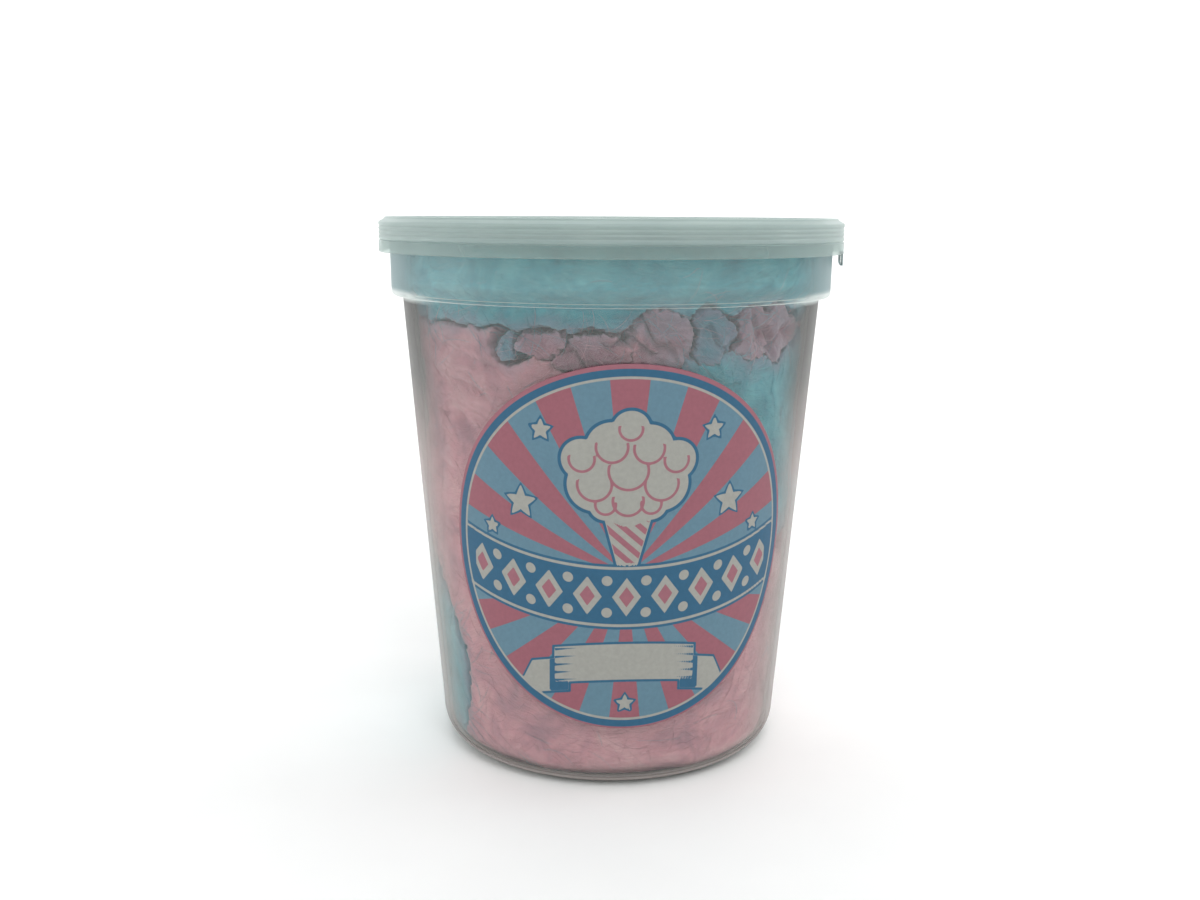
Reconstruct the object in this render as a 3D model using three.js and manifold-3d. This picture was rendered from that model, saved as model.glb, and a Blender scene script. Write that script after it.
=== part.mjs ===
// Cotton candy in a round clear tub with a press-on lid, in millimetres, +Z up, front facing -Y.
// The origin is the centre of the circle that the tub stands on.
import * as THREE from "three";
import { mergeVertices } from "three/addons/utils/BufferGeometryUtils.js";
import Module from "manifold-3d";

const wasm = await Module();
wasm.setup();

// Driving dimensions
const LID_DIAMETER = 120;
const OVERALL_HEIGHT = 139;
const COLLAR_DIAMETER = 114;
const WALL_TOP_DIAMETER = 108.4;
const WALL_BOTTOM_DIAMETER = 88.9; // of the tapered wall carried down to the table
const SHOULDER_HEIGHT = 119.3; // underside of the step from the wall out to the collar
const CORNER_RADIUS = 8.5; // between the wall and the foot
const SHEET = 0.8; // thickness of the moulded plastic
const GAP = 0.3; // between pieces that touch
const TURN_SIDES = 40; // facets round a turned piece

// Tub
const FOOT_INNER_RADIUS = 31;
const FLOOR_LIFT = 1; // the floor panel stands clear of the table by this
const SHOULDER_ROUND = 1.2;
const COLLAR_TOP = 133.2;
const COLLAR_TOP_RADIUS = COLLAR_DIAMETER / 2 + 0.25;
const RIM_RADIUS = 58.7;
const RIM_TOP = 137;
const RIM_ROUND = 0.8;

// Lid
const SKIRT_BOTTOM = 130.2;
const SKIRT_RADIUS = LID_DIAMETER / 2;
const SKIRT_TOP = OVERALL_HEIGHT - 1.3;
const BEAD_OUTER_RADIUS = 58.6;
const BEAD_INNER_RADIUS = 55.4;
const PANEL_TOP = OVERALL_HEIGHT - 2.6;
const STACK_STEP_RADIUS = 46; // a shallow ring step that the next tub's foot stands inside
const STACK_STEP = 0.7;
const TEAR_LINE = 133.3; // groove between the lid and its tear-off strip
const GROOVE_DEPTH = 0.3;
const GROOVE_HEIGHT = 0.5;
const RIDGES = 2; // fine grip ridges on the skirt above the tear line
const RIDGE_DEPTH = 0.18;
const TAB_AZIMUTH = 82; // degrees from the front towards +X
const TAB_WIDTH = 13;
const TAB_DROP = 2.9;

// Label
const LABEL_RADIUS = 45;
const LABEL_CENTRE_HEIGHT = 62;
const LABEL_AZIMUTH = 4.5;
const LABEL_THICKNESS = 0.3;
const LABEL_RINGS = 5;
const LABEL_SPOKES = 36;

// Floss
const TIGHT = 0.45; // distance from the tub's inner face where the floss is packed tight
const LOOSE = 2.6; // and near the top, where it has settled away from the wall
const [LOOSE_FROM, LOOSE_TO] = [60, 105]; // heights between which it loosens
const FLOSS_TOP = 133;
const COLLAR_SWELL = 3.6; // above the shoulder the floss bulges out into the wider collar
const FOLD_DEPTH = 1.4; // how far the folds sink in from the wall
const WAD_GAP = 0.5; // between torn wads
const [BIG_WAD_DETAIL, TUFT_DETAIL] = [4, 2];
const [FILL_SIDES, FILL_ROWS] = [32, 12];
const SEED = 7;

const COLOURS = { tub: 0xc9d2d0, lid: 0xaab5b1, label: 0x5e8ea8, pink: 0xd8a5ab, blue: 0x7fb9bf };

const SLOPE = (WALL_TOP_DIAMETER - WALL_BOTTOM_DIAMETER) / 2 / SHOULDER_HEIGHT;
const TAPER = Math.atan(SLOPE);
const wallRadius = (z) => WALL_BOTTOM_DIAMETER / 2 + SLOPE * z;
const point = (radius, z) => new THREE.Vector2(radius, z);
const degrees = (angle) => (angle * Math.PI) / 180;

// Points of an arc in the profile plane, from one angle to another, in degrees from the outward direction.
function arc(radius, z, size, from, to, steps) {
  return Array.from({ length: steps + 1 }, (_, i) => {
    const angle = degrees(from + ((to - from) * i) / steps);
    return point(radius + size * Math.cos(angle), z + size * Math.sin(angle));
  });
}

// The rounded corner between the foot and a wall that stands inside the outer wall by inset.
function footCorner(inset, from, to, steps) {
  const centre = wallRadius(CORNER_RADIUS) - CORNER_RADIUS / Math.cos(TAPER);
  return arc(centre, CORNER_RADIUS, CORNER_RADIUS - inset, from, to, steps);
}

// A profile turned about the vertical axis. Azimuth 0 is the front, -Y, and 90 degrees is +X.
function turned(profile, sides = TURN_SIDES) {
  return new THREE.LatheGeometry(profile, sides).rotateX(Math.PI / 2);
}

// A geometry as a solid that can be joined and cut.
function solid(geometry) {
  const bare = geometry.clone();
  bare.deleteAttribute("normal");
  bare.deleteAttribute("uv");
  const merged = mergeVertices(bare, 1e-4);
  const mesh = new wasm.Mesh({
    numProp: 3,
    vertProperties: new Float32Array(merged.attributes.position.array),
    triVerts: new Uint32Array(merged.index.array),
  });
  return new wasm.Manifold(mesh);
}

// The largest body of a solid, so that loose scraps drop out.
function largest(body) {
  return body.decompose().reduce((a, b) => (b.volume() > a.volume() ? b : a));
}

function geometryOf(body) {
  const mesh = body.getMesh();
  const corners = new Float32Array(mesh.numVert * 3);
  for (let i = 0; i < mesh.numVert; i++) {
    corners.set(mesh.vertProperties.subarray(i * mesh.numProp, i * mesh.numProp + 3), i * 3);
  }
  const geometry = new THREE.BufferGeometry();
  geometry.setAttribute("position", new THREE.BufferAttribute(corners, 3));
  geometry.setIndex(new THREE.BufferAttribute(new Uint32Array(mesh.triVerts), 1));
  geometry.computeVertexNormals();
  return geometry;
}

// The tub's profile: under the foot, up the outside, over the rim and down the inside.
function tubProfile() {
  const collar = COLLAR_DIAMETER / 2;
  const foot = FOOT_INNER_RADIUS;
  const degreesOfTaper = (TAPER * 180) / Math.PI;
  const shoulderInside = SHOULDER_HEIGHT + SHEET;
  return [
    point(0, FLOOR_LIFT),
    point(foot - FLOOR_LIFT, FLOOR_LIFT),
    point(foot, 0),
    ...footCorner(0, -90, -degreesOfTaper, 5),
    point(wallRadius(SHOULDER_HEIGHT), SHOULDER_HEIGHT),
    ...arc(collar - SHOULDER_ROUND, SHOULDER_HEIGHT + SHOULDER_ROUND, SHOULDER_ROUND, -90, 0, 3),
    point(COLLAR_TOP_RADIUS, COLLAR_TOP),
    point(RIM_RADIUS, COLLAR_TOP + 1),
    ...arc(RIM_RADIUS - RIM_ROUND, RIM_TOP - RIM_ROUND, RIM_ROUND, 0, 90, 2),
    point(COLLAR_TOP_RADIUS, RIM_TOP),
    point(COLLAR_TOP_RADIUS - SHEET, RIM_TOP - SHEET),
    point(collar - SHEET, shoulderInside + SHEET),
    point(collar - SHEET - 0.5, shoulderInside),
    point(wallRadius(shoulderInside) - SHEET, shoulderInside),
    ...footCorner(SHEET, -degreesOfTaper, -90, 4),
    point(foot + SHEET / 2, SHEET),
    point(foot + SHEET / 2 - FLOOR_LIFT, SHEET + FLOOR_LIFT),
    point(0, SHEET + FLOOR_LIFT),
  ];
}

// The skirt's outer face from the bottom up: the groove of the tear line, then grip ridges.
function skirtFace() {
  const pitch = (SKIRT_TOP - TEAR_LINE - GROOVE_HEIGHT) / (RIDGES + 1);
  const ridges = Array.from({ length: RIDGES }, (_, i) => {
    const z = TEAR_LINE + GROOVE_HEIGHT / 2 + pitch * (i + 1);
    return [
      point(SKIRT_RADIUS, z - pitch / 4),
      point(SKIRT_RADIUS - RIDGE_DEPTH, z),
      point(SKIRT_RADIUS, z + pitch / 4),
    ];
  }).flat();
  return [
    point(SKIRT_RADIUS, SKIRT_BOTTOM),
    point(SKIRT_RADIUS, TEAR_LINE - GROOVE_HEIGHT / 2),
    point(SKIRT_RADIUS - GROOVE_DEPTH, TEAR_LINE),
    point(SKIRT_RADIUS, TEAR_LINE + GROOVE_HEIGHT / 2),
    ...ridges,
    point(SKIRT_RADIUS, SKIRT_TOP),
  ];
}

// The lid's profile: out underneath, up the skirt, and back over the bead and the recessed panel.
function lidProfile() {
  const underBead = RIM_TOP + GAP;
  const insideSkirt = SKIRT_RADIUS - SHEET;
  const plug = COLLAR_TOP_RADIUS - SHEET - GAP - 0.1; // fits inside the tub's rim
  const underneath = [
    point(0, PANEL_TOP - STACK_STEP - SHEET),
    point(STACK_STEP_RADIUS + SHEET / 2 - STACK_STEP, PANEL_TOP - STACK_STEP - SHEET),
    point(STACK_STEP_RADIUS + SHEET / 2, PANEL_TOP - SHEET),
    point(plug - SHEET - 0.3, PANEL_TOP - SHEET),
    point(plug - SHEET, PANEL_TOP - 2.2),
    point(plug, PANEL_TOP - 2.2),
    point(plug, underBead),
    point(insideSkirt - 0.5, underBead),
    point(insideSkirt, underBead - 0.5),
    point(insideSkirt, SKIRT_BOTTOM),
  ];
  const top = [
    point(BEAD_OUTER_RADIUS, OVERALL_HEIGHT - 0.3),
    point(BEAD_OUTER_RADIUS - 0.5, OVERALL_HEIGHT),
    point(BEAD_INNER_RADIUS + 0.5, OVERALL_HEIGHT),
    point(BEAD_INNER_RADIUS, OVERALL_HEIGHT - 0.5),
    point(BEAD_INNER_RADIUS - 0.8, PANEL_TOP),
    point(STACK_STEP_RADIUS, PANEL_TOP),
    point(STACK_STEP_RADIUS - STACK_STEP, PANEL_TOP - STACK_STEP),
    point(0, PANEL_TOP - STACK_STEP),
  ];
  return [...underneath, ...skirtFace(), ...top];
}

// A plate with the given outline, bent round the skirt: outline x runs round the lid, y is the height.
function bentPlate(outline, inner, outer, azimuth) {
  const flat = new THREE.ExtrudeGeometry(outline, {
    depth: outer - inner, bevelEnabled: false, curveSegments: 5,
  });
  const places = flat.attributes.position;
  for (let i = 0; i < places.count; i++) {
    const radius = inner + places.getZ(i);
    const angle = degrees(azimuth) + places.getX(i) / outer;
    places.setXYZ(i, radius * Math.sin(angle), -radius * Math.cos(angle), places.getY(i));
  }
  return flat;
}

// The pull tab of the tear-off strip, a rounded tongue below the skirt.
function tearTab() {
  const half = TAB_WIDTH / 2;
  const top = SKIRT_BOTTOM + 0.6;
  const bottom = SKIRT_BOTTOM - TAB_DROP;
  const outline = new THREE.Shape();
  outline.moveTo(-half, top);
  outline.lineTo(-half, SKIRT_BOTTOM);
  outline.quadraticCurveTo(-half, bottom, -half / 3, bottom);
  outline.lineTo(half / 3, bottom);
  outline.quadraticCurveTo(half, bottom, half, SKIRT_BOTTOM);
  outline.lineTo(half, top);
  outline.closePath();
  return bentPlate(outline, SKIRT_RADIUS - SHEET + 0.1, SKIRT_RADIUS - 0.1, TAB_AZIMUTH);
}

// A flat disc laid round the tapered wall: across is the distance round the tub and up the distance
// along the slope, both from the label's centre. The wall's unrolled fan turns them into a place.
function onWall(across, up, lift) {
  const apex = wallRadius(LABEL_CENTRE_HEIGHT) / Math.sin(TAPER);
  const reach = Math.hypot(apex + up, across);
  const turn = Math.atan2(across, apex + up) / Math.sin(TAPER) + degrees(LABEL_AZIMUTH);
  const radius = reach * Math.sin(TAPER) + lift * Math.cos(TAPER);
  const z = LABEL_CENTRE_HEIGHT + (reach - apex) * Math.cos(TAPER) - lift * Math.sin(TAPER);
  return [radius * Math.sin(turn), -radius * Math.cos(turn), z];
}

function labelGeometry() {
  const places = [];
  const faces = [];
  const lifts = [GAP, GAP + LABEL_THICKNESS];
  lifts.forEach((lift) => {
    places.push(...onWall(0, 0, lift));
    for (let ring = 1; ring <= LABEL_RINGS; ring++) {
      for (let spoke = 0; spoke < LABEL_SPOKES; spoke++) {
        const reach = (LABEL_RADIUS * ring) / LABEL_RINGS;
        const angle = (2 * Math.PI * spoke) / LABEL_SPOKES;
        places.push(...onWall(reach * Math.cos(angle), reach * Math.sin(angle), lift));
      }
    }
  });
  const side = 1 + LABEL_RINGS * LABEL_SPOKES;
  const at = (level, ring, spoke) =>
    level * side + (ring === 0 ? 0 : 1 + (ring - 1) * LABEL_SPOKES + (spoke % LABEL_SPOKES));
  const add = (a, b, c, flip) => faces.push(...(flip ? [a, c, b] : [a, b, c]));
  for (let spoke = 0; spoke < LABEL_SPOKES; spoke++) {
    for (let level = 0; level < 2; level++) {
      const back = level === 0;
      add(at(level, 0, 0), at(level, 1, spoke), at(level, 1, spoke + 1), back);
      for (let ring = 1; ring < LABEL_RINGS; ring++) {
        const [a, b] = [at(level, ring, spoke), at(level, ring, spoke + 1)];
        const [c, d] = [at(level, ring + 1, spoke), at(level, ring + 1, spoke + 1)];
        add(a, c, d, back);
        add(a, d, b, back);
      }
    }
    const [a, b] = [at(0, LABEL_RINGS, spoke), at(0, LABEL_RINGS, spoke + 1)];
    const [c, d] = [at(1, LABEL_RINGS, spoke), at(1, LABEL_RINGS, spoke + 1)];
    add(a, b, d, false);
    add(a, d, c, false);
  }
  const geometry = new THREE.BufferGeometry();
  geometry.setAttribute("position", new THREE.Float32BufferAttribute(places, 3));
  geometry.setIndex(faces);
  return geometry;
}

// A seeded generator of numbers from 0 to 1.
function draws(seed) {
  let state = seed;
  return () => {
    state = (state * 1664525 + 1013904223) % 4294967296;
    return state / 4294967296;
  };
}

// A smooth bumpy field from -1 to 1: sine waves in drawn directions, about one wave per length.
function bumps(seed, wave, count = 7) {
  const next = draws(seed);
  const waves = Array.from({ length: count }, () => {
    const around = next() * 2 * Math.PI;
    const height = next() * 2 - 1;
    const flat = Math.sqrt(1 - height * height);
    const pull = (2 * Math.PI) / (wave * (0.7 + 0.6 * next()));
    const way = new THREE.Vector3(flat * Math.cos(around), flat * Math.sin(around), height);
    return { way: way.multiplyScalar(pull), phase: next() * 2 * Math.PI };
  });
  return (place) => waves.reduce((sum, w) => sum + Math.sin(place.dot(w.way) + w.phase), 0) / count;
}

// How far the floss stands off the wall's inner face, carried straight up past the shoulder, at a height.
function looseness(z) {
  const settled = (LOOSE - TIGHT) * THREE.MathUtils.smoothstep(z, LOOSE_FROM, LOOSE_TO);
  const swell = COLLAR_SWELL * THREE.MathUtils.smoothstep(z, SHOULDER_HEIGHT, SHOULDER_HEIGHT + 5);
  return TIGHT + settled - swell;
}

// Everything that the floss may fill: the tub's inside, with folds that sink in from the wall.
function flossFill() {
  const floor = SHEET + FLOOR_LIFT + TIGHT;
  const degreesOfTaper = (TAPER * 180) / Math.PI;
  const corner = footCorner(SHEET + TIGHT, -78, -degreesOfTaper, 3);
  const flossRadius = (z) => wallRadius(Math.min(z, SHOULDER_HEIGHT)) - SHEET - looseness(z);
  const rise = FLOSS_TOP - 5 - CORNER_RADIUS;
  const wallRows = Array.from({ length: FILL_ROWS }, (_, i) => {
    const z = CORNER_RADIUS + (rise * (i + 1)) / FILL_ROWS;
    return point(flossRadius(z), z);
  });
  const brow = flossRadius(FLOSS_TOP);
  const crown = [
    point(brow - 2.5, FLOSS_TOP - 2),
    point(brow - 8, FLOSS_TOP - 0.6),
    point(brow * 0.6, FLOSS_TOP),
    point(brow * 0.3, FLOSS_TOP),
    point(0, FLOSS_TOP),
  ];
  const profile = [point(0, floor), point(FOOT_INNER_RADIUS, floor), ...corner, ...wallRows, ...crown];
  const geometry = turned(profile, FILL_SIDES);
  const fold = bumps(SEED, 30);
  const crease = bumps(SEED + 1, 13);
  const places = geometry.attributes.position;
  for (let i = 0; i < places.count; i++) {
    const place = new THREE.Vector3().fromBufferAttribute(places, i);
    const sunk = FOLD_DEPTH * (0.15 + 0.9 * fold(place) + 0.6 * crease(place));
    const depth = THREE.MathUtils.clamp(sunk, 0, FOLD_DEPTH);
    const radius = Math.hypot(place.x, place.y);
    const kept = radius > 1 ? 1 - depth / radius : 1;
    const lowered = place.z > FLOSS_TOP - 6 ? depth : 0;
    places.setXYZ(i, place.x * kept, place.y * kept, place.z - lowered);
  }
  return solid(geometry);
}

// A torn wad of floss: a bumpy ball with radii along the wall, towards it and upwards, grown by some
// distance. Its centre is given by azimuth, distance from the axis and height.
function wad({ azimuth, out, height, radii, detail, seed }, grown) {
  const geometry = new THREE.IcosahedronGeometry(1, detail);
  const lumps = bumps(seed, 1.5);
  const places = geometry.attributes.position;
  for (let i = 0; i < places.count; i++) {
    const way = new THREE.Vector3().fromBufferAttribute(places, i).normalize();
    const swell = 1 + 0.22 * lumps(way);
    const [x, y, z] = radii.map((radius) => radius * swell + grown);
    places.setXYZ(i, way.x * x, way.y * y - out, height + way.z * z);
  }
  return solid(geometry.rotateZ(degrees(azimuth)));
}

function tuft(name, colour, azimuth, out, height, radii, seed) {
  return { name, colour, azimuth, out, height, radii, seed, detail: TUFT_DETAIL };
}

function bigWad(name, colour, azimuth, out, height, radii, seed) {
  return { name, colour, azimuth, out, height, radii, seed, detail: BIG_WAD_DETAIL };
}

// Wads in the order in which they are torn out of the fill. What is left over is the big pink wad.
const WADS = [
  tuft("floss_pink_tuft_left", "pink", -19, 45, 110.6, [5.8, 8, 3.2], 31),
  tuft("floss_blue_tuft_left", "blue", -30, 45, 109.4, [4.2, 8, 3.5], 32),
  tuft("floss_pink_tuft_middle", "pink", 13, 44, 111, [7.6, 12, 6.8], 33),
  tuft("floss_pink_tuft_low", "pink", -4, 44.5, 107.8, [10, 10, 4.6], 34),
  tuft("floss_blue_tuft_right", "blue", 28, 43.5, 112.6, [7.4, 12, 6], 35),
  tuft("floss_pink_tuft_right", "pink", 49, 43, 112, [14, 13, 7], 36),
  bigWad("floss_blue_right", "blue", 57, 38, 84, [40, 22, 30], 23),
  bigWad("floss_blue_left", "blue", -105, 33, 22, [33, 20, 37], 24),
  bigWad("floss_blue_back", "blue", 188, 38, 84, [34, 22, 26], 25),
  bigWad("floss_blue_top", "blue", 0, 0, 133, [130, 130, 19], 26),
];

function flossPieces() {
  let left = flossFill();
  const pieces = WADS.map((each) => {
    const piece = largest(left.intersect(wad(each, 0)));
    left = left.subtract(wad(each, WAD_GAP));
    return { name: each.name, colour: each.colour, body: piece };
  });
  return [...pieces, { name: "floss_pink_base", colour: "pink", body: largest(left) }];
}

function material(colour, roughness, opacity = 1) {
  return new THREE.MeshStandardMaterial({
    color: colour, roughness, metalness: 0, opacity, transparent: opacity < 1,
  });
}

function mesh(name, geometry, finish) {
  const made = new THREE.Mesh(geometry, finish);
  made.name = name;
  return made;
}

const cottonCandyTub = new THREE.Group();
const lid = solid(turned(lidProfile())).add(solid(tearTab()));
cottonCandyTub.add(mesh("tub", turned(tubProfile()), material(COLOURS.tub, 0.1, 0.3)));
cottonCandyTub.add(mesh("lid", geometryOf(lid), material(COLOURS.lid, 0.45, 0.7)));
cottonCandyTub.add(mesh("label", labelGeometry(), material(COLOURS.label, 0.5)));
flossPieces().forEach(({ name, colour, body }) => {
  cottonCandyTub.add(mesh(name, geometryOf(body), material(COLOURS[colour], 0.9)));
});

export default cottonCandyTub;
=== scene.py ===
# %% [markdown]
# # A clear tub of cotton candy
#
# The real object is a round, clear polypropylene tub with a cloudy press-on lid. It is packed with
# torn wads of pink and blue spun sugar, and a round printed sticker is wrapped on its tapered wall.
#
# The imported model gives every piece its place. This first cell loads it.

# %% Load the imported model
import math
from functools import partial
import bpy
import numpy as np
from mathutils import Matrix, Vector


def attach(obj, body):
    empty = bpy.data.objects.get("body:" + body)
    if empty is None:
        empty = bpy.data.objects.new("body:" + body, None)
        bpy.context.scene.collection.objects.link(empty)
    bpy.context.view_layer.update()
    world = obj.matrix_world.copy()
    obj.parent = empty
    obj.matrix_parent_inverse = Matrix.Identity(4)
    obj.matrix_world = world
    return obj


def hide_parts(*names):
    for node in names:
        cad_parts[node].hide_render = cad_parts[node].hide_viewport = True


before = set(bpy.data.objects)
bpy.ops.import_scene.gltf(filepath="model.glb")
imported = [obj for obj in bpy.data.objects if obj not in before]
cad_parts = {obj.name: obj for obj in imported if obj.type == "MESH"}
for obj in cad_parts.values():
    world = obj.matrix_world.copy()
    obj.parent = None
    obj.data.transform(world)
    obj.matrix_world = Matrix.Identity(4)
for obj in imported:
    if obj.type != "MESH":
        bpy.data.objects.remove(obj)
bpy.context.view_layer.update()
FINE = 1.0  # coarser grids of floss while trying things out
print("packed nodes:", sorted(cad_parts))

# %% [markdown]
# ## Colours, nodes and meshes
#
# Colours are picked as sRGB hex codes, as they look on a screen, but a renderer adds up light in
# linear numbers, so one function turns the codes into those. Another adds one shader node with its
# settings and links. The others turn a grid of points into a mesh: they join neighbours into
# four-sided faces as whole arrays, which is far quicker than adding faces one at a time.

# %% Helpers for colours and nodes
def linear(hex_code):
    """Linear colour: c / 12.92 below 0.04045, and ((c + 0.055) / 1.055) ** 2.4 above."""
    c = np.array([int(hex_code[i:i + 2], 16) / 255 for i in (1, 3, 5)])
    return (*np.where(c <= 0.04045, c / 12.92, ((c + 0.055) / 1.055) ** 2.4).tolist(), 1.0)


def add_node(material, kind, values=None, links=None, stops=None, **settings):
    """Adds a node: settings are its own, values fill its inputs, and links join outputs to inputs.

    A link is a node, for its first output, or a node and an output's name. Stops are the places and
    linear colours of a ramp, from low to high.
    """
    tree = material.node_tree
    made = tree.nodes.new("ShaderNode" + kind)
    for name, value in settings.items():
        setattr(made, name, value)
    for name, value in (values or {}).items():
        made.inputs[name].default_value = value
    for name, source in (links or {}).items():
        node, output = source if isinstance(source, tuple) else (source, 0)
        tree.links.new(node.outputs[output], made.inputs[name])
    if stops:
        ramp = made.color_ramp.elements
        ramp[0].position, ramp[0].color = stops[0]
        ramp[1].position, ramp[1].color = stops[-1]
        for position, tone in stops[1:-1]:
            ramp.new(position).color = tone
    return made


def new_material(name):
    """An empty material, what adds a node to it, and the link for a spot's place on the object."""
    made = bpy.data.materials.new(name)
    made.use_nodes = True
    made.node_tree.nodes.clear()
    add = partial(add_node, made)
    return made, add, (add("TexCoord"), "Object")


def finish_material(material, shader):
    """Links the last shader to the material's output."""
    add_node(material, "OutputMaterial", links={"Surface": shader})
    return material


print("white is", linear("#ffffff"), "and mid grey is", round(linear("#808080")[0], 3))

# %% Helpers that turn a grid of points into a mesh
def grid_ids(shape, open_rim=False):
    """Numbers of the grid's points. The first and the last row shrink to one point each, a pole."""
    ids = np.arange(shape[0] * shape[1]).reshape(shape[:2])
    ids[0] = ids[0, 0]
    if not open_rim:
        ids[-1] = ids[-1, 0]
    return ids


def grid_object(name, rows, material, slot=None, open_rim=False):
    """A mesh from points in millimetres, shaped [row, column, xyz], whose columns go all the way round."""
    ids = grid_ids(rows.shape, open_rim)
    low, high = ids[:-1], ids[1:]
    quads = np.stack([low, np.roll(low, -1, 1), np.roll(high, -1, 1), high], axis=-1)
    return mesh_object(name, rows.reshape(-1, 3), quads.reshape(-1, 4), material, slot)


def mesh_object(name, points, quads, material, slot=None):
    """A smooth mesh, which rides on the root body if it has a slot, as all but the stage does.

    A quad whose neighbouring corners agree is a triangle. Faces that would point inwards are found by
    the sign of the volume, and turned over.
    """
    p = points[quads]
    volume = np.einsum("ij,ij->i", p[:, 0], np.cross(p[:, 1], p[:, 2]) + np.cross(p[:, 2], p[:, 3]))
    if volume.sum() < 0:
        quads = quads[:, ::-1]
    used, compact = np.unique(quads, return_inverse=True)
    quads = compact.reshape(-1, 4)
    keep = quads != np.roll(quads, -1, axis=1)
    sizes = keep.sum(axis=1)
    real = sizes > 2
    loops = quads[real][keep[real]]
    starts = np.concatenate([[0], np.cumsum(sizes[real])[:-1]])
    mesh = bpy.data.meshes.new(name)
    mesh.vertices.add(len(used))
    mesh.vertices.foreach_set("co", (points[used] / 1000).ravel())
    mesh.loops.add(len(loops))
    mesh.loops.foreach_set("vertex_index", loops.astype(np.int32))
    mesh.polygons.add(len(starts))
    mesh.polygons.foreach_set("loop_start", starts.astype(np.int32))
    mesh.update(calc_edges=True)
    mesh.shade_smooth()
    mesh.materials.append(material)
    made = bpy.data.objects.new(name, mesh)
    bpy.context.scene.collection.objects.link(made)
    if slot:
        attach(made, "root")
    print(f"{name}: {len(used)} points, {len(starts)} faces")
    return made


# %% [markdown]
# ## The camera
#
# The photograph was taken from close by, a little above the lid: the rim looks wide and the foot
# small. The distance, height and tilt were worked out from the outline of the tub.

# %% Camera
camera_data = bpy.data.cameras.new("camera")
camera = bpy.data.objects.new("camera", camera_data)
bpy.context.scene.collection.objects.link(camera)
camera.location = (-0.0025968, -0.3444192, 0.1407109)
LOOK_DOWN, ROLL = 0.1822309, 0.0056  # radians
aim = Matrix.Rotation(math.pi / 2 - LOOK_DOWN, 4, "X") @ Matrix.Rotation(ROLL, 4, "Z")
camera.rotation_mode = "QUATERNION"
camera.rotation_quaternion = aim.to_quaternion()
camera_data.sensor_width = 36
camera_data.lens = 39
camera_data.clip_start = 0.01
bpy.context.scene.camera = camera
print("camera is", round(-camera.location.y * 1000), "mm in front of the axis")

# %% [markdown]
# ## The tub's sizes
#
# These are the solids' own sizes, in millimetres. The wall is a cone: its radius grows evenly from
# the foot to a shoulder, where it steps out to a nearly upright collar that the lid is pressed over.

# %% Sizes in millimetres
SHOULDER = 119.3
WALL_LOW, WALL_HIGH = 44.45, 54.2  # radius at the table and at the shoulder
SLOPE = (WALL_HIGH - WALL_LOW) / SHOULDER
TAPER = math.atan(SLOPE)
CORNER = 8.5
SHEET = 0.8
COLLAR = 57.0
COLLAR_TOP = COLLAR + 0.25  # the collar widens this much towards the rim
RIM_TOP = 137.0
LID_RADIUS = 60.0
LID_BOTTOM = 130.2
TOP = 139.0


def wall_radius(z):
    """Radius of the tub's outside at height z: a straight line from the foot to the shoulder."""
    return WALL_LOW + SLOPE * z


print("the wall leans out by", round(math.degrees(TAPER), 1), "degrees")

# %% [markdown]
# ## Profiles turned round an axis
#
# Moulded tubs and lids are bodies of revolution. Their profile could be drawn as a curve and spun,
# but here each corner of a plain polyline is replaced by a small parabola, the line is cut into
# short even steps so that light runs smoothly over it, and all points are turned at once.

# %% Helpers for turned pieces
def soften(corners, rounding, step=1.6):
    """Profile points [radius, height]: corners with a rounding are swapped for parabolas.

    A parabola starts and ends at that distance from its corner B, at points A and C, and passes
    through (1-t)^2 A + 2t(1-t) B + t^2 C. Straight runs are then cut into even steps.
    """
    corners = np.array(corners, float)
    middle = corners[1:-1]
    before, after = corners[:-2] - middle, corners[2:] - middle
    before_length, after_length = np.linalg.norm(before, axis=1), np.linalg.norm(after, axis=1)
    reach = np.minimum(rounding, np.minimum(before_length, after_length) * 0.48)[:, None]
    start = middle + before / before_length[:, None] * reach
    end = middle + after / after_length[:, None] * reach
    t = np.linspace(0, 1, 6)[None, :, None]
    arcs = (1 - t) ** 2 * start[:, None] + 2 * t * (1 - t) * middle[:, None] + t ** 2 * end[:, None]
    line = np.concatenate([corners[:1], arcs.reshape(-1, 2), corners[-1:]])
    gaps = np.linalg.norm(np.diff(line, axis=0), axis=1)
    line = line[np.concatenate([[True], gaps > 1e-6])]
    cuts = np.maximum(1, np.ceil(gaps[gaps > 1e-6] / step)).astype(int)
    pieces = [a + (b - a) * np.linspace(0, 1, n, endpoint=False)[:, None]
              for a, b, n in zip(line[:-1], line[1:], cuts)]
    return np.concatenate(pieces + [line[-1:]])


def turn(profile, sides=160):
    """Grid of the profile turned about the vertical axis, starting at the front (-Y)."""
    angle = np.linspace(0, 2 * np.pi, sides, endpoint=False)
    radius, z = profile[:, :1], profile[:, 1:]
    return np.stack([radius * np.sin(angle), -radius * np.cos(angle), z + 0 * angle], axis=-1)


# %% [markdown]
# ## Clear polypropylene
#
# The tub is injection-moulded clarified polypropylene, 0.8 mm thick: clear, but never quite as
# clear as glass. Seen square on it takes away a little contrast, and seen edge on its haze adds up
# to a milky grey. True refraction in so thin a sheet moves nothing that shows, and it would keep
# the lamps' light out of the tub, so the sheet is see-through, with a share of haze that grows
# towards the edges, under a reflection that grows there too.

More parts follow.
